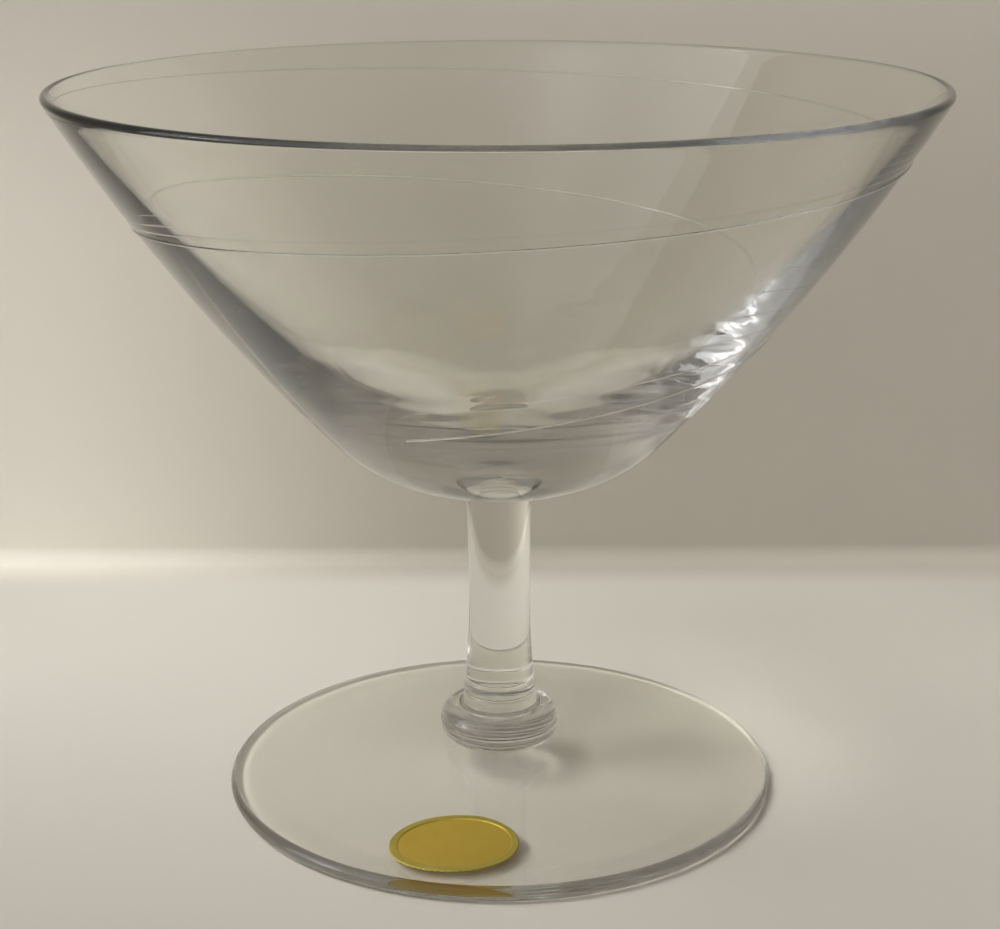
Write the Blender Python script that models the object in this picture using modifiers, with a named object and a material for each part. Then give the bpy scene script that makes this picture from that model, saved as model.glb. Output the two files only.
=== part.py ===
"""Stemmed sherbet glass: a blown bowl on a drawn stem, a pressed button and a turned-out foot.

Lengths are in metres. The glass stands on z = 0 around the Z axis and its front is at -Y.
"""

import math

import bmesh
import bpy

# Driving dimensions
HEIGHT = 0.0910
RIM_RADIUS = 0.0540
SEAM_GAP = 0.0003

# Bowl: outer side, then the round inner side that leaves a thin lip and a heavy floor
BOWL_BASE_HEIGHT = 0.0410
BOWL_SEAT_RADIUS = 0.0060
BOWL_CORNER_RADIUS = 0.0210
BOWL_WALL_SLOPE = math.radians(46.2)
LIP_THICKNESS = 0.0011
FLOOR_THICKNESS = 0.0064
FLOOR_ROUND = 0.0372
FLOOR_SLOPE = math.radians(41.4)
HEEL_ROUND = 0.1120
HEEL_SLOPE = math.radians(47.3)

# Stem: waisted rod that flares into the bowl and into the button
STEM_WAIST_RADIUS = 0.00397
STEM_WAIST_HEIGHT = 0.0255
STEM_FOOT_RADIUS = 0.00480
STEM_SHOULDER_RADIUS = 0.00430
STEM_FILLET = 0.0012
STEM_FLARE_RADIUS = 0.0047

# Button: bead of glass pressed between stem and foot
BUTTON_RADIUS = 0.00775
BUTTON_SEAT_RADIUS = 0.0056
BUTTON_TOP = 0.0103
BUTTON_BOTTOM = 0.0058

# Foot: disc with a round edge, a rising top and a hollow underneath that follows the top
FOOT_RADIUS = 0.03545
FOOT_EDGE_THICKNESS = 0.0020
FOOT_RISE_POWER = 1.4
FOOT_HOLLOW_RADIUS = 0.0300
FOOT_HOLLOW_DEPTH = 0.0034
FOOT_HOLLOW_CROWN = 0.0040

# Foil seal on the front of the foot
SEAL_LENGTH = 0.0158
SEAL_WIDTH = 0.0122
SEAL_THICKNESS = 0.0003
SEAL_X = -0.0056
SEAL_Y = -0.0254
SEAL_SQUARENESS = 2.1
SEAL_SERRATIONS = 64
SEAL_SERRATION_DEPTH = 0.00012

# Facets round each turned piece, and along each stretch of its profile
BOWL_STEPS = 80
STEM_STEPS = 36
BUTTON_STEPS = 48
FOOT_STEPS = 80
CORNER_SEGMENTS = 7
HEEL_SEGMENTS = 2
WALL_SEGMENTS = 10
LIP_SEGMENTS = 6
FILLET_SEGMENTS = 5
STEM_SEGMENTS = 5
BEAD_SEGMENTS = 8
FOOT_SEGMENTS = 7
HOLLOW_SEGMENTS = 6

# Tint of the colourless glass, and colour of the foil
CLEAR_GLASS = (0.98, 0.99, 0.98)
FOIL_GOLD = (0.42, 0.28, 0.05)

DOWN = -math.pi / 2.0
UP = math.pi / 2.0


def clear_scene():
    for item in list(bpy.data.objects):
        bpy.data.objects.remove(item, do_unlink=True)


def make_collection(name):
    collection = bpy.data.collections.new(name)
    bpy.context.scene.collection.children.link(collection)
    return collection


def glass_material(name):
    material = bpy.data.materials.new(name)
    material.use_nodes = True
    shader = material.node_tree.nodes["Principled BSDF"]
    shader.inputs["Base Color"].default_value = (*CLEAR_GLASS, 1.0)
    shader.inputs["Roughness"].default_value = 0.02
    shader.inputs["IOR"].default_value = 1.52
    shader.inputs["Transmission Weight"].default_value = 1.0
    return material


def foil_material():
    material = bpy.data.materials.new("gold_foil")
    material.use_nodes = True
    shader = material.node_tree.nodes["Principled BSDF"]
    shader.inputs["Base Color"].default_value = (*FOIL_GOLD, 1.0)
    shader.inputs["Metallic"].default_value = 1.0
    shader.inputs["Roughness"].default_value = 0.35
    return material


def turned(name, profile, steps, material, collection):
    """Revolve a profile of (radius, height) points, given inside or top first and underside last."""
    mesh = bpy.data.meshes.new(name)
    edges = [(index, index + 1) for index in range(len(profile) - 1)]
    mesh.from_pydata([(radius, 0.0, height) for radius, height in profile], edges, [])
    item = bpy.data.objects.new(name, mesh)
    collection.objects.link(item)
    screw = item.modifiers.new("turn", "SCREW")
    screw.axis = "Z"
    screw.steps = steps
    screw.render_steps = steps
    screw.use_merge_vertices = True
    screw.merge_threshold = 0.00001
    screw.use_smooth_shade = True
    mesh.materials.append(material)
    return item


def arc(centre, radius, start, end, count):
    """Points on an arc in the (radius, height) plane, angles from +radius towards +height."""
    points = []
    for index in range(count + 1):
        angle = start + (end - start) * index / count
        points.append((centre[0] + radius * math.cos(angle), centre[1] + radius * math.sin(angle)))
    return points


def arc_centre(point, radius, slope):
    """Centre of the arc that passes a point at a slope and curves up."""
    return point[0] - radius * math.sin(slope), point[1] + radius * math.cos(slope)


def wall(start, slope, top):
    """Slowly steepening wall that leaves a point at a slope and ends at the lip."""
    chord_slope = math.atan2(top[1] - start[1], top[0] - start[0])
    turn = 2.0 * (chord_slope - slope)
    radius = math.dist(start, top) / (2.0 * math.sin(turn / 2.0))
    return arc(arc_centre(start, radius, slope), radius, DOWN + slope, DOWN + slope + turn, WALL_SEGMENTS)


def bowl_outside(top):
    """Outer side of the bowl from the axis up to the lip: flat seat, corner, wall."""
    corner_centre = (BOWL_SEAT_RADIUS, BOWL_BASE_HEIGHT + BOWL_CORNER_RADIUS)
    corner = arc(corner_centre, BOWL_CORNER_RADIUS, DOWN, DOWN + BOWL_WALL_SLOPE, CORNER_SEGMENTS)
    return [(0.0, BOWL_BASE_HEIGHT)] + corner + wall(corner[-1], BOWL_WALL_SLOPE, top)[1:]


def bowl_inside(top):
    """Inner side of the bowl from the axis up to the lip: round floor, heel, wall."""
    floor_centre = (0.0, BOWL_BASE_HEIGHT + FLOOR_THICKNESS + FLOOR_ROUND)
    floor = arc(floor_centre, FLOOR_ROUND, DOWN, DOWN + FLOOR_SLOPE, CORNER_SEGMENTS)
    floor[0] = (0.0, floor[0][1])
    heel_centre = arc_centre(floor[-1], HEEL_ROUND, FLOOR_SLOPE)
    heel = arc(heel_centre, HEEL_ROUND, DOWN + FLOOR_SLOPE, DOWN + HEEL_SLOPE, HEEL_SEGMENTS)
    return floor + heel[1:] + wall(heel[-1], HEEL_SLOPE, top)[1:]


def bowl_profile():
    """Closed wall of the bowl: floor, inner side, round lip, outer side, seat."""
    lip_radius = LIP_THICKNESS / 2.0
    lip_centre = (RIM_RADIUS - lip_radius, HEIGHT - lip_radius)
    lip = arc(lip_centre, lip_radius, math.pi, 0.0, LIP_SEGMENTS)
    return bowl_inside(lip[0])[:-1] + lip + bowl_outside(lip[-1])[-2::-1]


def stem_profile():
    """Stem from its top face down: flare under the bowl, waist, flare into the button, bottom face."""
    top = BOWL_BASE_HEIGHT - SEAM_GAP
    bottom = BUTTON_TOP + SEAM_GAP
    shoulder = top - STEM_FILLET
    fillet_centre = (STEM_SHOULDER_RADIUS + STEM_FILLET, shoulder)
    flare_start = math.acos((STEM_FLARE_RADIUS - fillet_centre[0]) / STEM_FILLET)
    points = [(0.0, top), (STEM_FLARE_RADIUS, top)]
    points += arc(fillet_centre, STEM_FILLET, flare_start, math.pi, FILLET_SEGMENTS)
    for index in range(1, STEM_SEGMENTS + 1):
        share = 1.0 - index / STEM_SEGMENTS
        radius = STEM_WAIST_RADIUS + (STEM_SHOULDER_RADIUS - STEM_WAIST_RADIUS) * share ** 2
        points.append((radius, STEM_WAIST_HEIGHT + (shoulder - STEM_WAIST_HEIGHT) * share))
    for index in range(1, STEM_SEGMENTS + 1):
        share = index / STEM_SEGMENTS
        radius = STEM_WAIST_RADIUS + (STEM_FOOT_RADIUS - STEM_WAIST_RADIUS) * share ** 2
        points.append((radius, STEM_WAIST_HEIGHT + (bottom - STEM_WAIST_HEIGHT) * share))
    return points + [(0.0, bottom)]


def button_profile():
    """Flattened bead with a flat seat above and below."""
    middle = (BUTTON_TOP + BUTTON_BOTTOM) / 2.0
    half_height = (BUTTON_TOP - BUTTON_BOTTOM) / 2.0
    bulge = BUTTON_RADIUS - BUTTON_SEAT_RADIUS
    points = [(0.0, BUTTON_TOP)]
    for across, rise in arc((0.0, 0.0), 1.0, UP, DOWN, BEAD_SEGMENTS):
        points.append((BUTTON_SEAT_RADIUS + bulge * across, middle + half_height * rise))
    return points + [(0.0, BUTTON_BOTTOM)]


def foot_top_height(radius):
    """Height of the foot's upper surface between the button and the edge."""
    crown = BUTTON_BOTTOM - SEAM_GAP
    edge_start = FOOT_RADIUS - FOOT_EDGE_THICKNESS / 2.0
    share = (edge_start - radius) / (edge_start - BUTTON_SEAT_RADIUS)
    share = min(max(share, 0.0), 1.0)
    return FOOT_EDGE_THICKNESS + (crown - FOOT_EDGE_THICKNESS) * share ** FOOT_RISE_POWER


def hollow_height(radius):
    """Height of the hollow's surface above the resting ring."""
    reach = math.hypot(FOOT_HOLLOW_RADIUS, FOOT_HOLLOW_CROWN) - FOOT_HOLLOW_CROWN
    share = 1.0 - (math.hypot(radius, FOOT_HOLLOW_CROWN) - FOOT_HOLLOW_CROWN) / reach
    return FOOT_HOLLOW_DEPTH * max(share, 0.0) ** FOOT_RISE_POWER


def foot_profile():
    """Foot from the middle of its top: rising cone, round edge, resting ring, hollow."""
    edge_radius = FOOT_EDGE_THICKNESS / 2.0
    edge_start = FOOT_RADIUS - edge_radius
    points = [(0.0, foot_top_height(0.0))]
    for index in range(FOOT_SEGMENTS):
        radius = BUTTON_SEAT_RADIUS + (edge_start - BUTTON_SEAT_RADIUS) * index / FOOT_SEGMENTS
        points.append((radius, foot_top_height(radius)))
    points += arc((edge_start, edge_radius), edge_radius, UP, DOWN, BEAD_SEGMENTS)
    for index in range(HOLLOW_SEGMENTS + 1):
        radius = FOOT_HOLLOW_RADIUS * (1.0 - index / HOLLOW_SEGMENTS)
        points.append((radius, hollow_height(radius)))
    return points


def fuller(share):
    """Cosine or sine of an oval that is fuller than an ellipse at its shoulders."""
    return math.copysign(abs(share) ** (2.0 / SEAL_SQUARENESS), share)


def seal_outline(collection):
    """Flat oval with a finely cut edge, as a filled curve lying along the slope of the foot."""
    curve = bpy.data.curves.new("seal_outline", "CURVE")
    curve.dimensions = "2D"
    curve.fill_mode = "BOTH"
    curve.extrude = SEAL_THICKNESS / 2.0
    spline = curve.splines.new("POLY")
    count = SEAL_SERRATIONS * 2
    spline.points.add(count - 1)
    for index in range(count):
        angle = 2.0 * math.pi * index / count
        inset = SEAL_SERRATION_DEPTH * (index % 2)
        along = (SEAL_LENGTH / 2.0 - inset) * fuller(math.cos(angle))
        across = (SEAL_WIDTH / 2.0 - inset) * fuller(math.sin(angle))
        spline.points[index].co = (along, across, 0.0, 1.0)
    spline.use_cyclic_u = True
    outline = bpy.data.objects.new("seal_outline", curve)
    collection.objects.link(outline)

    centre_radius = math.hypot(SEAL_X, SEAL_Y)
    inner_height = foot_top_height(centre_radius - SEAL_WIDTH / 2.0)
    outer_height = foot_top_height(centre_radius + SEAL_WIDTH / 2.0)
    slope = math.atan2(inner_height - outer_height, SEAL_WIDTH)
    bearing = math.atan2(SEAL_X, -SEAL_Y)
    resting_height = (inner_height + outer_height) / 2.0 + SEAM_GAP
    outline.rotation_euler = (slope * math.cos(bearing), slope * math.sin(bearing), 0.0)
    outline.location = (SEAL_X, SEAL_Y, resting_height + SEAL_THICKNESS / 2.0)
    bpy.context.view_layer.update()
    return outline


def foil_seal(material, collection):
    """Foil seal as one welded mesh made from its outline."""
    outline = seal_outline(collection)
    evaluated = outline.evaluated_get(bpy.context.evaluated_depsgraph_get())
    mesh = bpy.data.meshes.new_from_object(evaluated)
    mesh.name = "foil_seal"
    welder = bmesh.new()
    welder.from_mesh(mesh)
    bmesh.ops.remove_doubles(welder, verts=welder.verts, dist=0.000001)
    bmesh.ops.recalc_face_normals(welder, faces=welder.faces)
    welder.to_mesh(mesh)
    welder.free()
    mesh.materials.clear()
    mesh.materials.append(material)
    seal = bpy.data.objects.new("foil_seal", mesh)
    seal.matrix_world = outline.matrix_world.copy()
    collection.objects.link(seal)
    bpy.data.objects.remove(outline, do_unlink=True)


def main():
    clear_scene()
    collection = make_collection("sherbet_glass")
    turned("bowl", bowl_profile(), BOWL_STEPS, glass_material("blown_glass"), collection)
    turned("stem", stem_profile(), STEM_STEPS, glass_material("drawn_glass"), collection)
    turned("button", button_profile(), BUTTON_STEPS, glass_material("pressed_glass"), collection)
    turned("foot", foot_profile(), FOOT_STEPS, glass_material("foot_glass"), collection)
    foil_seal(foil_material(), collection)


main()
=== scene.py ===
"""Looks of the sherbet glass: clear hand-worked glass pieces, a fine cut line and a gold foil seal.

Lengths are in metres, in the frame of the solids: the glass stands on z = 0 and its front is at -Y.
"""

import math

import bmesh
import bpy
from mathutils import Matrix, Vector, noise


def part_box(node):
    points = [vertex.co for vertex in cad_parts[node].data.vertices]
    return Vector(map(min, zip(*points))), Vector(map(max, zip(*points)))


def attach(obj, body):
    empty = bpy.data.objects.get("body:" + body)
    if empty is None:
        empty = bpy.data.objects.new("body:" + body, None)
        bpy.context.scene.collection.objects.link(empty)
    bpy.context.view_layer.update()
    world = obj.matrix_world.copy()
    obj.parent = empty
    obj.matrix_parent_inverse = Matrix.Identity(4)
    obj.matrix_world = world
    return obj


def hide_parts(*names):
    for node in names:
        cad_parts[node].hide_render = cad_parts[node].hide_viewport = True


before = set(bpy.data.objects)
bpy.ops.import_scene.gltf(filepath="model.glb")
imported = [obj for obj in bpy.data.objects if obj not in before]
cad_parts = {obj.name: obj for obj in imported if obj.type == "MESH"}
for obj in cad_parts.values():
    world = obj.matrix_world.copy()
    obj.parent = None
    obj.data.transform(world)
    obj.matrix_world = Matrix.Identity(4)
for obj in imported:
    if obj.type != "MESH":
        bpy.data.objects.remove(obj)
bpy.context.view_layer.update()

MM = 0.001
WELD = 0.001 * MM
SLACK = 0.01 * MM

# Sizes read from the solids
BOWL_LOW, BOWL_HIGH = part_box("bowl")
STEM_LOW, STEM_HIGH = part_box("stem")
BUTTON_LOW, BUTTON_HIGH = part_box("button")
FOOT_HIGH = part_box("foot")[1]
SEAL_LOW, SEAL_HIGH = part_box("foil_seal")
HEIGHT = BOWL_HIGH.z
RIM_RADIUS = BOWL_HIGH.x
FOOT_RADIUS = FOOT_HIGH.x
BUTTON_RADIUS = BUTTON_HIGH.x
BOWL_SEAM = (STEM_HIGH.z + BOWL_LOW.z) / 2.0
BUTTON_SEAM = (BUTTON_HIGH.z + STEM_LOW.z) / 2.0
FOOT_SEAM = (FOOT_HIGH.z + BUTTON_LOW.z) / 2.0
SEAL_LENGTH = SEAL_HIGH.x - SEAL_LOW.x
SEAL_WIDTH = SEAL_HIGH.y - SEAL_LOW.y
SEAL_MIDDLE = (SEAL_LOW + SEAL_HIGH) / 2.0

# Bowl: outer side, lip, inner side, then the ripples that blowing left on the lower wall inside
SEAT_RADIUS = 6.0 * MM
CORNER_RADIUS = 21.0 * MM
WALL_SLOPE = math.radians(46.2)
LIP_THICKNESS = 1.1 * MM
LIP_SLOPE = math.radians(58.0)
FLOOR_THICKNESS = 6.55 * MM
FLOOR_ROUND = 37.2 * MM
FLOOR_SLOPE = math.radians(41.4)
HEEL_ROUND = 112.0 * MM
HEEL_SLOPE = math.radians(47.3)
RIPPLE_SPACING = 2.8 * MM
RIPPLE_HEIGHT = 0.02 * MM
RIPPLE_DRIFT = 8.0 * MM
RIPPLE_START = 15.0 * MM
RIPPLE_FULL = 21.0 * MM
RIPPLE_END = 34.0 * MM

# Stem: waist, flares into the bowl and the button, wavy joint under the bowl, rings that the jacks left
WAIST_RADIUS = 3.97 * MM
WAIST_HEIGHT = 25.5 * MM
SHOULDER_RADIUS = 4.30 * MM
FLARE = 0.45 * MM
FLARE_LENGTH = 1.0 * MM
STEM_FOOT_RADIUS = 4.80 * MM
STEM_FOOT_FILLET = 0.5 * MM
JOINT_RADIUS = 4.45 * MM
JOINT_ROUND = 0.30 * MM
JOINT_WAVE = 0.15 * MM
JOINT_WAVES = 3
TOOL_RINGS = (12.1 * MM, 13.8 * MM)
GROOVE_DEPTH = 0.12 * MM
GROOVE_HALF = 0.22 * MM

# Button: radius at which it meets the foot
BUTTON_SEAT = 5.9 * MM

# Foot: edge, rise to the button and hollow underneath
EDGE_RADIUS = 1.0 * MM
FOOT_RISE_POWER = 1.4
HOLLOW_RADIUS = 30.0 * MM
HOLLOW_DEPTH = 3.4 * MM
HOLLOW_CROWN = 4.0 * MM

# Cut line: where it starts, how far it winds, and how its descent quickens with each turn
CUT_START_HEIGHT = 90.0 * MM
CUT_START_BEARING = math.radians(228.6)
CUT_TURNS = 1.95
CUT_DROP = 6.2 * MM
CUT_QUICKENING = 6.5 * MM
CUT_HALF_WIDTH = 0.16 * MM
CUT_THIN_START = 0.15
CUT_THICKENING = 3.0
CUT_STEPS = 360
CUT_ROUNDNESS = 2

# Foil seal: fuller than an ellipse, notches round the edge, then rings from the edge to the middle,
# each with how far it is set in, how far it is shifted and how far it stands up
SEAL_SQUARENESS = 2.1
SEAL_SERRATIONS = 64
SERRATION_POINTS = 4
SEAL_NOTCH = 0.18 * MM
SEAL_THICKNESS = 0.12 * MM
SEAL_PRESS = 0.04 * MM
SEAL_RINGS = (
    (0.00, 0.00, -0.04 * MM),
    (0.14 * MM, 0.00, 0.10 * MM),
    (0.90 * MM, 0.10 * MM, 0.12 * MM),
    (1.00 * MM, 0.10 * MM, 0.01 * MM),
    (1.10 * MM, 0.10 * MM, 0.00),
    (2.20 * MM, 0.08 * MM, 0.00),
    (3.60 * MM, 0.05 * MM, 0.00),
    (5.00 * MM, 0.02 * MM, 0.00),
    (5.90 * MM, 0.00, 0.00),
)
BORDER_RINGS = 2

# Glass: tint, haze of its polish, height of its surface ripples, the light that its iron takes,
# as a power of e per metre of path inside it, and how often a ray may bounce in it
GLASS_TINT = "#FCFCF9"
GLASS_IOR = 1.52
GLASS_HAZE = 0.02
GLASS_RIPPLE = 0.004 * MM
GLASS_LOSS = 8.5
GLASS_BOUNCES = 128

# Foil: size of its worn patches, and how far its sheen varies
FOIL_WEAR_SIZE = 4.0 * MM
FOIL_SHEEN_SPREAD = 0.08

# Facets
SEGMENTS = 256
FLOOR_STEPS = 110
HEEL_STEPS = 40
CORNER_STEPS = 48
WALL_STEPS = 40
LIP_STEPS = 16
FILLET_STEPS = 20
STEM_STEPS = 80
BEAD_STEPS = 24
FOOT_STEPS = 40
SWEEP_STEPS = 24
SHARP_ANGLE = math.radians(30.0)

# Camera: the photograph's frame and viewing angle
IMAGE_WIDTH = 1000
FOCAL_PIXELS = 2054.0
SENSOR_WIDTH = 36.0
CAMERA_NEAR = 10.0 * MM
CAMERA_PLACE = Vector((0.0, -249.6 * MM, 119.0 * MM))
CAMERA_PITCH = math.radians(16.96)
CAMERA_ROLL = math.radians(-0.17)
CAMERA_YAW = math.radians(0.03)

# Stage: pale floor that sweeps up into a backdrop, where its tones change, and the tones, which over the
# pale paper are painted light and shade: lighter on the left, darker to the right, at the front and far
# out
FLOOR_HEIGHT = -0.2 * MM
FLOOR_WIDTH = 3.0
FLOOR_FRONT = -1.5
SWEEP_START = 0.081
SWEEP_RADIUS = 0.003
BACKDROP_HEIGHT = 0.6
PAPER_ROUGHNESS = 0.9
PAPER_SPECULAR = 0.1
FLOOR_SHADE = (-0.12, 0.12)
FLOOR_NEAR = (-0.06, 0.05)
BACKDROP_SHADE = (-0.085, -0.005)
BACKDROP_RISE = (0.05, 0.12)
FOLD_REACH = (0.071, 0.0835)
FLOOR_FALLOFF = (0.085, 0.20)
BACKDROP_FALLOFF = (0.082, 0.16)
# Floor: painted light, lighter on the left towards the lamps, painted shade at the front and far out
FLOOR_PAINTED_LIGHT_TONES = ("#D9D5CB", "#CDC7BD")
FLOOR_NEAR_PAINTED_SHADE = "#BCB7AD"
FLOOR_FAR_PAINTED_SHADE = "#A39C90"
# Backdrop: painted light on the left of its foot, painted shade from the middle rightwards where the
# glass's shadow falls, one painted tone up high, painted shade far out to both sides
BACKDROP_PAINTED_LIGHT_TONES = ("#EAE4D8", "#B8B1A4")
BACKDROP_TOP_PAINTED_TONE = "#CEC7BA"
BACKDROP_FAR_PAINTED_SHADE = "#857E73"

# Light: the even tone past the floor, then dim levels with soft patches over them,
# each patch with its direction, strength and tightness
ROOM_BEYOND = 0.42
ROOM_DIM = 0.04
ROOM_PATCHES = (
    (Vector((-1.0, -0.05, 0.20)), 1.6, 3.0),
    (Vector((-0.92, -0.25, 0.30)), 5.0, 150.0),
    (Vector((0.0, -1.0, 0.3)), 0.15, 2.0),
    (Vector((-0.275, -0.5, 0.82)), 0.60, 60.0),
    (Vector((0.0, 0.15, 1.0)), 0.50, 6.0),
)
LAMP_DIM = 0.14
LAMP_PATCHES = (
    (Vector((-0.57, -0.12, 0.81)), 12.0, 45.0),
    (Vector((-0.40, -0.55, 0.73)), 8.0, 45.0),
    (Vector((-0.10, -1.00, 0.35)), 0.5, 2.0),
)


def linear(hex_colour):
    """An sRGB hex colour as linear red, green, blue and alpha."""
    channels = []
    for place in (1, 3, 5):
        value = int(hex_colour[place:place + 2], 16) / 255.0
        channels.append(value / 12.92 if value <= 0.04045 else ((value + 0.055) / 1.055) ** 2.4)
    return (*channels, 1.0)


def add_node(tree, kind, values=None, links=None, **settings):
    """Add a node with its settings, its input values and the sockets that feed its inputs."""
    node = tree.nodes.new(kind)
    for name, value in settings.items():
        setattr(node, name, value)
    for name, value in (values or {}).items():
        node.inputs[name].default_value = value
    for name, socket in (links or {}).items():
        tree.links.new(socket, node.inputs[name])
    return node


def new_material(name):
    """An empty node material with its Principled shader."""
    material = bpy.data.materials.new(name)
    material.use_nodes = True
    return material, material.node_tree, material.node_tree.nodes["Principled BSDF"]


# Turned outlines


def start_outline(name, across, height, along=0.0):
    """Add a plane and merge it into the single point where an outline starts."""
    bpy.ops.object.select_all(action="DESELECT")
    bpy.ops.mesh.primitive_plane_add(size=MM)
    piece = bpy.context.object
    piece.name = name
    piece.data.name = name
    bpy.ops.object.mode_set(mode="EDIT")
    bpy.ops.mesh.select_mode(type="VERT")
    bpy.ops.mesh.select_all(action="SELECT")
    bpy.ops.mesh.merge(type="CENTER")
    bpy.ops.transform.translate(value=(across, along, height))
    return piece


def outline_end(piece):
    """The selected point at the end of an outline."""
    mesh = bmesh.from_edit_mesh(piece.data)
    return next(point.co.copy() for point in mesh.verts if point.select)


def run_to(piece, across, height, along=0.0):
    """Extrude the outline's end in a straight line."""
    step = Vector((across, along, height)) - outline_end(piece)
    bpy.ops.mesh.extrude_region_move(TRANSFORM_OT_translate={"value": step})


def bend(radius, height, angle, steps):
    """Spin the outline's end about a centre, counter-clockwise seen from the front."""
    bpy.ops.mesh.spin(steps=steps, angle=angle, center=(radius, 0.0, height), axis=(0.0, 1.0, 0.0))


def turn():
    """Spin the finished outline round the Z axis into a closed, smooth piece."""
    bpy.ops.mesh.select_all(action="SELECT")
    bpy.ops.mesh.spin(steps=SEGMENTS, angle=2.0 * math.pi, center=(0.0, 0.0, 0.0), axis=(0.0, 0.0, 1.0))
    bpy.ops.mesh.select_all(action="SELECT")
    bpy.ops.mesh.remove_doubles(threshold=WELD)
    bpy.ops.mesh.normals_make_consistent(inside=False)
    bpy.ops.object.mode_set(mode="OBJECT")
    bpy.ops.object.shade_smooth_by_angle(angle=SHARP_ANGLE)


def fuse(piece, joint, low, high, radius):
    """Give the faces of a hot joint the joint material, so that the fused glass has no seam inside."""
    piece.data.materials.append(joint)
    for face in piece.data.polygons:
        reach = max(math.hypot(*piece.data.vertices[index].co.xy) for index in face.vertices)
        if low - SLACK <= face.center.z <= high + SLACK and reach <= radius + SLACK:
            face.material_index = 1


def arc_point(centre, radius, slope):
    """Point where an arc that curves up round its centre has a slope."""
    return centre[0] + radius * math.sin(slope), centre[1] - radius * math.cos(slope)


def arc_centre(point, radius, slope):
    """Centre of the arc that passes a point at a slope and curves up."""
    return point[0] - radius * math.sin(slope), point[1] + radius * math.cos(slope)


def wall_arc(start, slope, top):
    """Centre, and turn, of the wall that leaves a point at a slope and ends at the point top."""
    chord_slope = math.atan2(top[1] - start[1], top[0] - start[0])
    wall_turn = 2.0 * (chord_slope - slope)
    wall_radius = math.dist(start, top) / (2.0 * math.sin(wall_turn / 2.0))
    return *arc_centre(start, wall_radius, slope), wall_turn


def lip_ends():
    """Where the wall's inner and outer side run into the round lip, and the lip's centre."""
    half = LIP_THICKNESS / 2.0
    centre = (RIM_RADIUS - half, HEIGHT - half)
    across = (half * math.sin(LIP_SLOPE), half * math.cos(LIP_SLOPE))
    inner = (centre[0] - across[0], centre[1] + across[1])
    outer = (centre[0] + across[0], centre[1] - across[1])
    return inner, outer, centre


def blown_bowl(glass, joint):
    """Bowl: floor, inner wall, fire-polished lip, outer wall, seat on the stem."""
    inner_end, outer_end, lip = lip_ends()
    floor = BOWL_SEAM + FLOOR_THICKNESS
    floor_centre = (0.0, floor + FLOOR_ROUND)
    heel_centre = arc_centre(arc_point(floor_centre, FLOOR_ROUND, FLOOR_SLOPE), HEEL_ROUND, FLOOR_SLOPE)
    inner = wall_arc(arc_point(heel_centre, HEEL_ROUND, HEEL_SLOPE), HEEL_SLOPE, inner_end)
    corner_centre = (SEAT_RADIUS, BOWL_SEAM + CORNER_RADIUS)
    outer = wall_arc(arc_point(corner_centre, CORNER_RADIUS, WALL_SLOPE), WALL_SLOPE, outer_end)
    piece = start_outline("blown_bowl", 0.0, floor)
    bend(*floor_centre, FLOOR_SLOPE, FLOOR_STEPS)
    bend(*heel_centre, HEEL_SLOPE - FLOOR_SLOPE, HEEL_STEPS)
    bend(*inner, WALL_STEPS)
    bend(*lip, -math.pi, LIP_STEPS)
    bend(outer[0], outer[1], -outer[2], WALL_STEPS)
    bend(*corner_centre, -WALL_SLOPE, CORNER_STEPS)
    run_to(piece, JOINT_RADIUS, BOWL_SEAM)
    run_to(piece, 0.0, BOWL_SEAM)
    turn()
    inner_side = [point for point in piece.data.vertices if point.normal.z > 0.0]
    for point in inner_side:
        reach = point.co.xy.length
        start = (reach - RIPPLE_START) / (RIPPLE_FULL - RIPPLE_START)
        end = (RIPPLE_END - reach) / (RIPPLE_END - RIPPLE_FULL)
        drift = math.pi * noise.noise(point.co / RIPPLE_DRIFT)
        ripple = math.sin(math.tau * reach / RIPPLE_SPACING + drift)
        point.co.z += RIPPLE_HEIGHT * max(0.0, min(start, end)) * ripple
    piece.data.materials.append(glass)
    fuse(piece, joint, 0.0, BOWL_SEAM, JOINT_RADIUS)
    return piece


def stem_radius(height, foot):
    """Radius of the stem at a height: waist, flares at both ends, drawn in at the tool rings."""
    if height > WAIST_HEIGHT:
        share = (height - WAIST_HEIGHT) / (BOWL_SEAM - WAIST_HEIGHT)
        radius = WAIST_RADIUS + (SHOULDER_RADIUS - WAIST_RADIUS) * share ** 2
        radius += FLARE * math.exp((height - BOWL_SEAM) / FLARE_LENGTH)
    else:
        share = (WAIST_HEIGHT - height) / (WAIST_HEIGHT - foot)
        radius = WAIST_RADIUS + (STEM_FOOT_RADIUS - WAIST_RADIUS) * share ** 2
    nearest = min(abs(height - ring) for ring in TOOL_RINGS)
    return radius - GROOVE_DEPTH * max(0.0, 1.0 - nearest / GROOVE_HALF)


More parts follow.
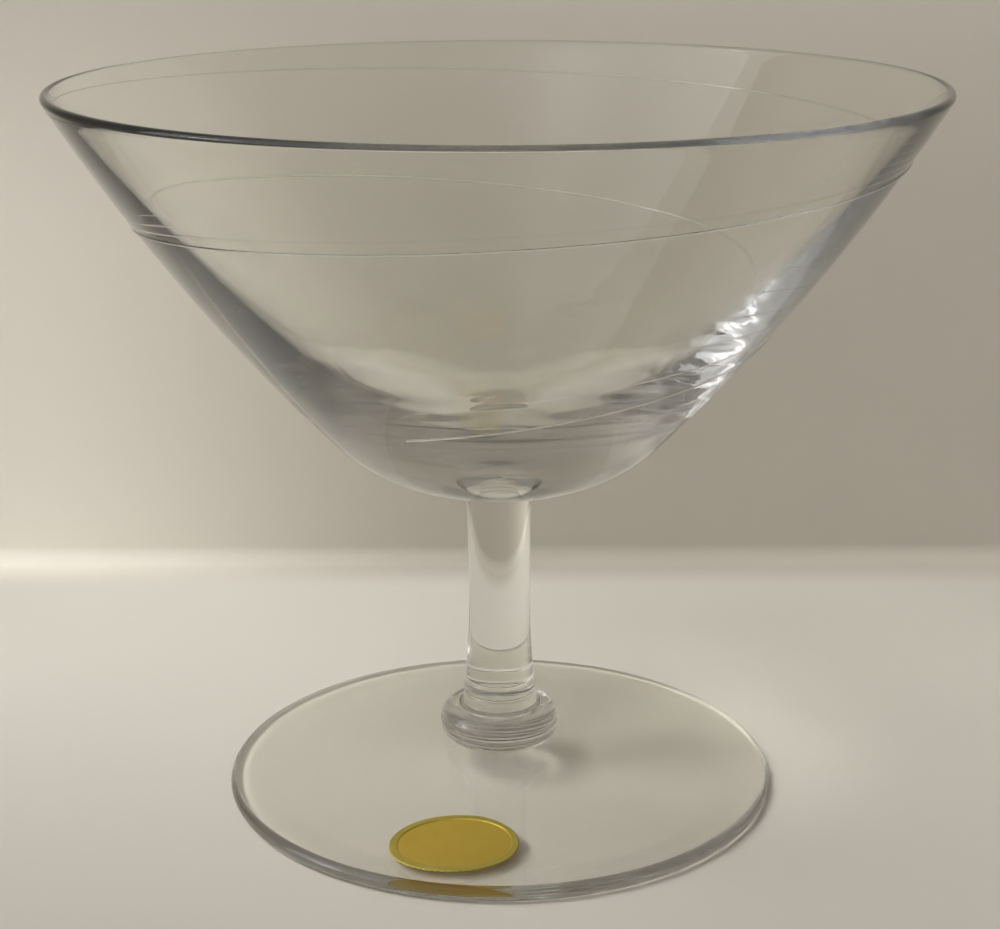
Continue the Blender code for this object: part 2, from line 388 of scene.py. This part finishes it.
def drawn_stem(glass, joint):
    """Stem: rounded into the joint under the bowl, flare, waist, tool rings, flare into the button."""
    piece = start_outline("drawn_stem", 0.0, BOWL_SEAM)
    run_to(piece, JOINT_RADIUS, BOWL_SEAM)
    foot = BUTTON_SEAM + STEM_FOOT_FILLET
    shoulder = BOWL_SEAM - JOINT_ROUND
    edge = stem_radius(shoulder, foot)
    for index in range(1, FILLET_STEPS + 1):
        angle = math.pi / 2.0 * index / FILLET_STEPS
        run_to(
            piece, JOINT_RADIUS + (edge - JOINT_RADIUS) * math.sin(angle),
            BOWL_SEAM - JOINT_ROUND * (1.0 - math.cos(angle)),
        )
    heights = [shoulder + (foot - shoulder) * index / STEM_STEPS for index in range(1, STEM_STEPS + 1)]
    heights += [ring + offset for ring in TOOL_RINGS for offset in (-GROOVE_HALF, 0.0, GROOVE_HALF)]
    for height in sorted(heights, reverse=True):
        run_to(piece, stem_radius(height, foot), height)
    bend(STEM_FOOT_RADIUS + STEM_FOOT_FILLET, foot, math.pi / 2.0, FILLET_STEPS)
    run_to(piece, 0.0, BUTTON_SEAM)
    turn()
    for point in piece.data.vertices:
        share = max(0.0, 1.0 - abs(point.co.z - shoulder) / JOINT_ROUND)
        bearing = math.atan2(point.co.y, point.co.x)
        point.co.z += JOINT_WAVE * share * math.sin(JOINT_WAVES * bearing)
    piece.data.materials.append(glass)
    fuse(piece, joint, BOWL_SEAM, HEIGHT, JOINT_RADIUS)
    fuse(piece, joint, 0.0, BUTTON_SEAM, STEM_FOOT_RADIUS + STEM_FOOT_FILLET)
    return piece


def pressed_button(glass, joint):
    """Button: a bead between stem and foot, drawn in where it meets them."""
    middle = (BUTTON_SEAM + FOOT_SEAM) / 2.0
    piece = start_outline("pressed_button", 0.0, BUTTON_SEAM)
    run_to(piece, STEM_FOOT_RADIUS + STEM_FOOT_FILLET, BUTTON_SEAM)
    for index in range(BEAD_STEPS + 1):
        angle = math.pi * (0.5 - index / BEAD_STEPS)
        across = BUTTON_SEAT + (BUTTON_RADIUS - BUTTON_SEAT) * math.cos(angle)
        run_to(piece, across, middle + (BUTTON_SEAM - middle) * math.sin(angle))
    run_to(piece, 0.0, FOOT_SEAM)
    turn()
    piece.data.materials.append(glass)
    fuse(piece, joint, BUTTON_SEAM, HEIGHT, STEM_FOOT_RADIUS + STEM_FOOT_FILLET)
    fuse(piece, joint, 0.0, FOOT_SEAM, BUTTON_SEAT)
    return piece


def foot_top(radius):
    """Height of the foot's top between the button and the edge."""
    edge_start = FOOT_RADIUS - EDGE_RADIUS
    share = min(max((edge_start - radius) / (edge_start - BUTTON_SEAT), 0.0), 1.0)
    return 2.0 * EDGE_RADIUS + (FOOT_SEAM - 2.0 * EDGE_RADIUS) * share ** FOOT_RISE_POWER


def hollow_height(radius):
    """Height of the hollow under the foot, which follows the rise of its top."""
    reach = math.hypot(HOLLOW_RADIUS, HOLLOW_CROWN) - HOLLOW_CROWN
    share = 1.0 - (math.hypot(radius, HOLLOW_CROWN) - HOLLOW_CROWN) / reach
    return HOLLOW_DEPTH * max(share, 0.0) ** FOOT_RISE_POWER


def worked_foot(glass, joint):
    """Foot: rise to the button, round edge, resting ring, hollow that follows the top."""
    edge_start = FOOT_RADIUS - EDGE_RADIUS
    piece = start_outline("worked_foot", 0.0, FOOT_SEAM)
    run_to(piece, BUTTON_SEAT, FOOT_SEAM)
    for index in range(1, FOOT_STEPS + 1):
        radius = BUTTON_SEAT + (edge_start - BUTTON_SEAT) * index / FOOT_STEPS
        run_to(piece, radius, foot_top(radius))
    bend(edge_start, EDGE_RADIUS, -math.pi, BEAD_STEPS)
    for index in range(FOOT_STEPS + 1):
        radius = HOLLOW_RADIUS * (1.0 - index / FOOT_STEPS)
        run_to(piece, radius, hollow_height(radius))
    turn()
    piece.data.materials.append(glass)
    fuse(piece, joint, FOOT_SEAM, HEIGHT, BUTTON_SEAT)
    return piece


def outer_radius(height):
    """Radius of the bowl's outer side at a height."""
    corner_end = BOWL_SEAM + CORNER_RADIUS * (1.0 - math.cos(WALL_SLOPE))
    if height < corner_end:
        return SEAT_RADIUS + math.sqrt(CORNER_RADIUS ** 2 - (BOWL_SEAM + CORNER_RADIUS - height) ** 2)
    outer_end = lip_ends()[1]
    corner = arc_point((SEAT_RADIUS, BOWL_SEAM + CORNER_RADIUS), CORNER_RADIUS, WALL_SLOPE)
    centre = wall_arc(corner, WALL_SLOPE, outer_end)
    return centre[0] + math.sqrt(math.dist(centre[:2], outer_end) ** 2 - (height - centre[1]) ** 2)


def cut_point(share):
    """Place of the cut line on the bowl's outer side, after a share of its length."""
    turns = CUT_TURNS * share
    height = CUT_START_HEIGHT - CUT_DROP * turns - CUT_QUICKENING * turns ** 2
    bearing = CUT_START_BEARING - 2.0 * math.pi * turns
    radius = outer_radius(height)
    return radius * math.cos(bearing), height, radius * math.sin(bearing)


def cut_line(glass):
    """Fine line that a cutter's wheel leaves round the bowl: a spiral that fades in and ends bluntly."""
    piece = start_outline("cut_line", *cut_point(0.0))
    for index in range(1, CUT_STEPS + 1):
        run_to(piece, *cut_point(index / CUT_STEPS))
    bpy.ops.object.mode_set(mode="OBJECT")
    bpy.ops.object.convert(target="CURVE")
    curve = bpy.context.object.data
    curve.bevel_depth = CUT_HALF_WIDTH
    curve.bevel_resolution = CUT_ROUNDNESS
    curve.use_fill_caps = True
    points = curve.splines[0].points
    for index, point in enumerate(points):
        share = index / (len(points) - 1)
        point.radius = min(1.0, CUT_THIN_START + CUT_THICKENING * share)
    bpy.ops.object.convert(target="MESH")
    piece = bpy.context.object
    piece.name = "cut_line"
    piece.data.name = "cut_line"
    piece.data.materials.append(glass)
    bpy.ops.object.shade_smooth()
    return piece


def fuller(share):
    """Cosine or sine of an oval that is fuller than an ellipse at its shoulders."""
    return math.copysign(abs(share) ** (2.0 / SEAL_SQUARENESS), share)


def foil_seal(foil, edge_foil):
    """Foil seal: oval with a finely cut edge, a raised border and a plain sunk field, pressed on."""
    edge_points = SERRATION_POINTS * SEAL_SERRATIONS
    bpy.ops.object.select_all(action="DESELECT")
    bpy.ops.mesh.primitive_circle_add(vertices=edge_points, radius=1.0, fill_type="NOTHING")
    piece = bpy.context.object
    piece.name = "foil_seal_embossed"
    piece.data.name = "foil_seal_embossed"
    piece.data.materials.append(foil)
    piece.data.materials.append(edge_foil)
    bpy.ops.object.mode_set(mode="EDIT")
    bpy.ops.mesh.select_mode(type="EDGE")
    bpy.ops.mesh.select_all(action="SELECT")
    last = len(SEAL_RINGS)
    for index in range(1, last):
        shrink = (last - index) / (last - index + 1)
        bpy.ops.mesh.extrude_edges_move()
        bpy.ops.transform.resize(value=(shrink, shrink, 1.0))
    bpy.ops.mesh.edge_face_add()
    bpy.ops.mesh.poke()
    mesh = bmesh.from_edit_mesh(piece.data)
    ring_of = {point: last - round(point.co.xy.length * last) for point in mesh.verts}
    for face in mesh.faces:
        face.material_index = int(max(ring_of[point] for point in face.verts) <= BORDER_RINGS)
    for point, ring in ring_of.items():
        inset, shift, rise = SEAL_RINGS[min(ring, last - 1)]
        bearing = math.atan2(point.co.y, point.co.x)
        if ring == 0 and round(bearing / math.tau * edge_points) % SERRATION_POINTS == 0:
            inset += SEAL_NOTCH
        if ring < last:
            point.co.x = (SEAL_LENGTH / 2.0 - inset) * fuller(math.cos(bearing)) + shift
            point.co.y = (SEAL_WIDTH / 2.0 - inset) * fuller(math.sin(bearing))
        point.co.xy += SEAL_MIDDLE.xy
        point.co.z = foot_top(point.co.xy.length) + SEAL_THICKNESS - SEAL_PRESS + rise
    bpy.ops.mesh.select_all(action="SELECT")
    bpy.ops.mesh.normals_make_consistent(inside=False)
    if sum(face.normal.z for face in mesh.faces) < 0.0:
        bpy.ops.mesh.flip_normals()
    bmesh.update_edit_mesh(piece.data)
    bpy.ops.object.mode_set(mode="OBJECT")
    bpy.ops.object.modifier_add(type="SOLIDIFY")
    piece.modifiers[-1].thickness = SEAL_THICKNESS
    piece.modifiers[-1].offset = -1.0
    bpy.ops.object.modifier_apply(modifier=piece.modifiers[-1].name)
    bpy.ops.object.shade_smooth_by_angle(angle=SHARP_ANGLE)
    return piece


# Materials


def gold_foil(name, colours, roughness, grain_size, grain_height):
    """Metal foil rolled thin and embossed: satin sheen broken by a grain drawn coarse enough to show."""
    material, tree, shader = new_material(name)
    shader.inputs["Metallic"].default_value = 1.0
    place = add_node(tree, "ShaderNodeTexCoord")
    grain = add_node(
        tree, "ShaderNodeTexNoise", {"Scale": 1.0 / grain_size, "Detail": 3.0},
        {"Vector": place.outputs["Object"]},
    )
    wear = add_node(
        tree, "ShaderNodeTexNoise", {"Scale": 1.0 / FOIL_WEAR_SIZE}, {"Vector": place.outputs["Object"]}
    )
    tone = add_node(
        tree, "ShaderNodeMix", {"A": linear(colours[0]), "B": linear(colours[1])},
        {"Factor": wear.outputs["Fac"]}, data_type="RGBA",
    )
    satin = add_node(
        tree, "ShaderNodeMapRange",
        {"To Min": roughness - FOIL_SHEEN_SPREAD, "To Max": roughness + FOIL_SHEEN_SPREAD},
        {"Value": grain.outputs["Fac"]},
    )
    bump = add_node(
        tree, "ShaderNodeBump", {"Strength": 1.0, "Distance": grain_height},
        {"Height": grain.outputs["Fac"]},
    )
    tree.links.new(tone.outputs["Result"], shader.inputs["Base Color"])
    tree.links.new(satin.outputs["Result"], shader.inputs["Roughness"])
    tree.links.new(bump.outputs["Normal"], shader.inputs["Normal"])
    return material


def clear_glass(name, ripple_size):
    """Soda-lime glass shaped hot: bright polish, faint ripples that bend the view, grey in depth."""
    material, tree, shader = new_material(name)
    shader.inputs["Base Color"].default_value = linear(GLASS_TINT)
    shader.inputs["IOR"].default_value = GLASS_IOR
    shader.inputs["Transmission Weight"].default_value = 1.0
    place = add_node(tree, "ShaderNodeTexCoord")
    ripple = add_node(
        tree, "ShaderNodeTexNoise", {"Scale": 1.0 / ripple_size, "Detail": 1.0},
        {"Vector": place.outputs["Object"]},
    )
    bump = add_node(
        tree, "ShaderNodeBump", {"Strength": 1.0, "Distance": GLASS_RIPPLE},
        {"Height": ripple.outputs["Fac"]},
    )
    haze = add_node(
        tree, "ShaderNodeMapRange", {"To Min": 0.0, "To Max": GLASS_HAZE}, {"Value": ripple.outputs["Fac"]}
    )
    tree.links.new(bump.outputs["Normal"], shader.inputs["Normal"])
    tree.links.new(haze.outputs["Result"], shader.inputs["Roughness"])
    light = add_node(tree, "ShaderNodeLightPath")
    side = add_node(tree, "ShaderNodeNewGeometry")
    depth = add_node(
        tree, "ShaderNodeMath", {1: -GLASS_LOSS}, {0: light.outputs["Ray Length"]}, operation="MULTIPLY"
    )
    kept = add_node(tree, "ShaderNodeMath", None, {0: depth.outputs[0]}, operation="EXPONENT")
    lost = add_node(tree, "ShaderNodeMath", {0: 1.0}, {1: kept.outputs[0]}, operation="SUBTRACT")
    inside = add_node(
        tree, "ShaderNodeMath", None, {0: lost.outputs[0], 1: side.outputs["Backfacing"]},
        operation="MULTIPLY",
    )
    dark = add_node(tree, "ShaderNodeBsdfDiffuse", {"Color": linear("#000000")})
    mix = add_node(
        tree, "ShaderNodeMixShader", None,
        {0: inside.outputs[0], 1: shader.outputs["BSDF"], 2: dark.outputs["BSDF"]},
    )
    tree.links.new(mix.outputs["Shader"], tree.nodes["Material Output"].inputs["Surface"])
    return material


def joint_material():
    """Glass fused to glass: nothing to see at the joint."""
    material, _, shader = new_material("fused_joint")
    shader.inputs["Alpha"].default_value = 0.0
    return material


def matte_paper():
    """Uncoated paper: matte and pale, with painted light and shade in its tones, darker far out, clear
    from behind and below.
    """
    material, tree, shader = new_material("matte_paper")
    shader.inputs["Roughness"].default_value = PAPER_ROUGHNESS
    shader.inputs["Specular IOR Level"].default_value = PAPER_SPECULAR
    place = add_node(tree, "ShaderNodeTexCoord")
    axes = add_node(tree, "ShaderNodeSeparateXYZ", None, {0: place.outputs["Object"]})
    across = add_node(
        tree, "ShaderNodeMapRange", {"From Min": FLOOR_SHADE[0], "From Max": FLOOR_SHADE[1]},
        {"Value": axes.outputs["X"]}, interpolation_type="SMOOTHSTEP",
    )
    beside = add_node(
        tree, "ShaderNodeMapRange", {"From Min": BACKDROP_SHADE[0], "From Max": BACKDROP_SHADE[1]},
        {"Value": axes.outputs["X"]}, interpolation_type="SMOOTHSTEP",
    )
    above = add_node(
        tree, "ShaderNodeMapRange", {"From Min": BACKDROP_RISE[0], "From Max": BACKDROP_RISE[1]},
        {"Value": axes.outputs["Z"]}, interpolation_type="SMOOTHSTEP",
    )
    upright = add_node(
        tree, "ShaderNodeMapRange", {"From Min": FOLD_REACH[0], "From Max": FOLD_REACH[1]},
        {"Value": axes.outputs["Y"]}, interpolation_type="SMOOTHSTEP",
    )
    away = add_node(
        tree, "ShaderNodeMapRange", {"From Min": FLOOR_NEAR[0], "From Max": FLOOR_NEAR[1]},
        {"Value": axes.outputs["Y"]}, interpolation_type="SMOOTHSTEP",
    )
    # Painted light across the floor: lighter on the left, darker on the right
    floor_painted_side_light = add_node(
        tree, "ShaderNodeMix", {"A": linear(FLOOR_PAINTED_LIGHT_TONES[0]), "B": linear(FLOOR_PAINTED_LIGHT_TONES[1])},
        {"Factor": across.outputs["Result"]}, data_type="RGBA",
    )
    # Painted shade at the front of the floor
    floor_painted_front_shade = add_node(
        tree, "ShaderNodeMix", {"A": linear(FLOOR_NEAR_PAINTED_SHADE)},
        {"Factor": away.outputs["Result"], "B": floor_painted_side_light.outputs["Result"]}, data_type="RGBA",
    )
    reach = add_node(
        tree, "ShaderNodeVectorMath", None, {0: place.outputs["Object"]}, operation="LENGTH"
    )
    outer = add_node(
        tree, "ShaderNodeMapRange", {"From Min": FLOOR_FALLOFF[0], "From Max": FLOOR_FALLOFF[1]},
        {"Value": reach.outputs["Value"]}, interpolation_type="SMOOTHSTEP",
    )
    # Painted shade far out on the floor
    floor = add_node(
        tree, "ShaderNodeMix", {"B": linear(FLOOR_FAR_PAINTED_SHADE)},
        {"Factor": outer.outputs["Result"], "A": floor_painted_front_shade.outputs["Result"]}, data_type="RGBA",
    )
    # Painted light and shade on the backdrop: lighter on the left of its foot, darker from the middle
    # rightwards, one tone higher up
    low = add_node(
        tree, "ShaderNodeMix", {"A": linear(BACKDROP_PAINTED_LIGHT_TONES[0]), "B": linear(BACKDROP_PAINTED_LIGHT_TONES[1])},
        {"Factor": beside.outputs["Result"]}, data_type="RGBA",
    )
    high = add_node(
        tree, "ShaderNodeMix", {"B": linear(BACKDROP_TOP_PAINTED_TONE)},
        {"Factor": above.outputs["Result"], "A": low.outputs["Result"]}, data_type="RGBA",
    )
    # Painted shade far out to either side of the backdrop
    sideways = add_node(tree, "ShaderNodeMath", None, {0: axes.outputs["X"]}, operation="ABSOLUTE")
    far_side = add_node(
        tree, "ShaderNodeMapRange", {"From Min": BACKDROP_FALLOFF[0], "From Max": BACKDROP_FALLOFF[1]},
        {"Value": sideways.outputs[0]}, interpolation_type="SMOOTHSTEP",
    )
    backdrop = add_node(
        tree, "ShaderNodeMix", {"B": linear(BACKDROP_FAR_PAINTED_SHADE)},
        {"Factor": far_side.outputs["Result"], "A": high.outputs["Result"]}, data_type="RGBA",
    )
    tone = add_node(
        tree, "ShaderNodeMix", None,
        {
            "Factor": upright.outputs["Result"],
            "A": floor.outputs["Result"],
            "B": backdrop.outputs["Result"],
        },
        data_type="RGBA",
    )
    tree.links.new(tone.outputs["Result"], shader.inputs["Base Color"])
    clear = add_node(tree, "ShaderNodeBsdfTransparent")
    side = add_node(tree, "ShaderNodeNewGeometry")
    mix = add_node(
        tree, "ShaderNodeMixShader", None,
        {0: side.outputs["Backfacing"], 1: shader.outputs["BSDF"], 2: clear.outputs["BSDF"]},
    )
    tree.links.new(mix.outputs["Shader"], tree.nodes["Material Output"].inputs["Surface"])
    return material


# Camera, stage and light


def add_camera():
    """Camera at the photograph's viewing angle."""
    camera = bpy.data.cameras.new("camera")
    camera.sensor_width = SENSOR_WIDTH
    camera.lens = FOCAL_PIXELS / IMAGE_WIDTH * SENSOR_WIDTH
    camera.clip_start = CAMERA_NEAR
    item = bpy.data.objects.new("camera", camera)
    bpy.context.scene.collection.objects.link(item)
    forward = Vector((
        math.sin(CAMERA_YAW) * math.cos(CAMERA_PITCH),
        math.cos(CAMERA_YAW) * math.cos(CAMERA_PITCH),
        -math.sin(CAMERA_PITCH),
    ))
    level = Vector((math.cos(CAMERA_YAW), -math.sin(CAMERA_YAW), 0.0))
    upright = level.cross(forward)
    right = level * math.cos(CAMERA_ROLL) + upright * math.sin(CAMERA_ROLL)
    up = upright * math.cos(CAMERA_ROLL) - level * math.sin(CAMERA_ROLL)
    turn_to = Matrix((right, up, -forward)).transposed().to_4x4()
    item.matrix_world = Matrix.Translation(CAMERA_PLACE) @ turn_to
    bpy.context.scene.camera = item


def sweep(paper):
    """Floor and backdrop in one sheet."""
    bpy.ops.object.select_all(action="DESELECT")
    bpy.ops.mesh.primitive_plane_add(size=1.0)
    sheet = bpy.context.object
    sheet.name = "pale_sweep"
    bpy.ops.object.mode_set(mode="EDIT")
    bpy.ops.mesh.select_all(action="SELECT")
    depth = SWEEP_START - FLOOR_FRONT
    bpy.ops.transform.resize(value=(FLOOR_WIDTH, depth, 1.0))
    bpy.ops.transform.translate(value=(0.0, FLOOR_FRONT + depth / 2.0, FLOOR_HEIGHT))
    bpy.ops.mesh.select_mode(type="EDGE")
    bpy.ops.mesh.select_all(action="DESELECT")
    mesh = bmesh.from_edit_mesh(sheet.data)
    for edge in mesh.edges:
        edge.select = all(abs(point.co.y - SWEEP_START) < MM for point in edge.verts)
    bmesh.update_edit_mesh(sheet.data)
    bpy.ops.mesh.spin(
        steps=SWEEP_STEPS, angle=math.pi / 2.0,
        center=(0.0, SWEEP_START, FLOOR_HEIGHT + SWEEP_RADIUS), axis=(-1.0, 0.0, 0.0),
    )
    bpy.ops.mesh.extrude_region_move(TRANSFORM_OT_translate={"value": (0.0, 0.0, BACKDROP_HEIGHT)})
    bpy.ops.mesh.select_all(action="SELECT")
    bpy.ops.mesh.normals_make_consistent(inside=True)
    bpy.ops.object.mode_set(mode="OBJECT")
    bpy.ops.object.shade_smooth()
    sheet.data.materials.append(paper)


def soft_patches(tree, place, dim, patches):
    """Brightness by direction: soft round patches over a dim level."""
    total = add_node(tree, "ShaderNodeValue")
    total.outputs[0].default_value = dim
    for towards, strength, tightness in patches:
        facing = add_node(
            tree, "ShaderNodeVectorMath", {1: towards.normalized()}, {0: place.outputs["Generated"]},
            operation="DOT_PRODUCT",
        )
        lit = add_node(tree, "ShaderNodeMath", {1: 0.0}, {0: facing.outputs["Value"]}, operation="MAXIMUM")
        narrow = add_node(tree, "ShaderNodeMath", {1: tightness}, {0: lit.outputs[0]}, operation="POWER")
        total = add_node(
            tree, "ShaderNodeMath", {1: strength}, {0: narrow.outputs[0], 2: total.outputs[0]},
            operation="MULTIPLY_ADD",
        )
    return total.outputs[0]


def room_light():
    """Soft light: lamps high on the left for matte surfaces, the dim room that glass and metal mirror,
    and an even tone where a view looks past the floor."""
    world = bpy.data.worlds.new("soft_room")
    bpy.context.scene.world = world
    world.use_nodes = True
    world.cycles.sampling_method = "NONE"
    tree = world.node_tree
    place = add_node(tree, "ShaderNodeTexCoord")
    path = add_node(tree, "ShaderNodeLightPath")
    level = add_node(
        tree, "ShaderNodeMix", None,
        {
            "Factor": path.outputs["Diffuse Depth"],
            "A": soft_patches(tree, place, ROOM_DIM, ROOM_PATCHES),
            "B": soft_patches(tree, place, LAMP_DIM, LAMP_PATCHES),
        },
    )
    shown = add_node(
        tree, "ShaderNodeMix", {"B": ROOM_BEYOND},
        {"Factor": path.outputs["Is Camera Ray"], "A": level.outputs["Result"]},
    )
    background = tree.nodes["Background"]
    background.inputs["Color"].default_value = linear("#FFFFFF")
    tree.links.new(shown.outputs["Result"], background.inputs["Strength"])


def settle_render():
    """Plain colours, and enough bounces for light to cross the glass."""
    scene = bpy.context.scene
    scene.view_settings.view_transform = "Standard"
    scene.cycles.max_bounces = GLASS_BOUNCES
    scene.cycles.transmission_bounces = GLASS_BOUNCES
    scene.cycles.glossy_bounces = GLASS_BOUNCES
    scene.cycles.transparent_max_bounces = GLASS_BOUNCES
    scene.cycles.blur_glossy = 0.0
    scene.cycles.sample_clamp_indirect = 0.0


add_camera()
sweep(matte_paper())
room_light()
settle_render()

joint = joint_material()
foil = gold_foil("satin_gold_foil", ("#F3D767", "#E9CB5A"), 0.38, 0.25 * MM, 0.006 * MM)
edge_foil = gold_foil("matte_gold_foil", ("#E1D374", "#D5C566"), 0.50, 0.20 * MM, 0.010 * MM)
cut_glass = clear_glass("wheel_cut_glass", 1.0 * MM)
blown_glass = clear_glass("blown_glass", 9.0 * MM)
drawn_glass = clear_glass("drawn_glass", 6.0 * MM)
pressed_glass = clear_glass("pressed_glass", 4.0 * MM)
worked_glass = clear_glass("worked_glass", 12.0 * MM)

for piece, node_name, slot in (
    (blown_bowl(blown_glass, joint), "bowl", "bowl_glass"),
    (drawn_stem(drawn_glass, joint), "stem", "stem_glass"),
    (pressed_button(pressed_glass, joint), "button", "button_glass"),
    (worked_foot(worked_glass, joint), "foot", "foot_glass"),
    (foil_seal(foil, edge_foil), "foil_seal", "gold_foil"),
):
    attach(piece, "root")
    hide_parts(node_name)

cut = cut_line(cut_glass)
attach(cut, "root")
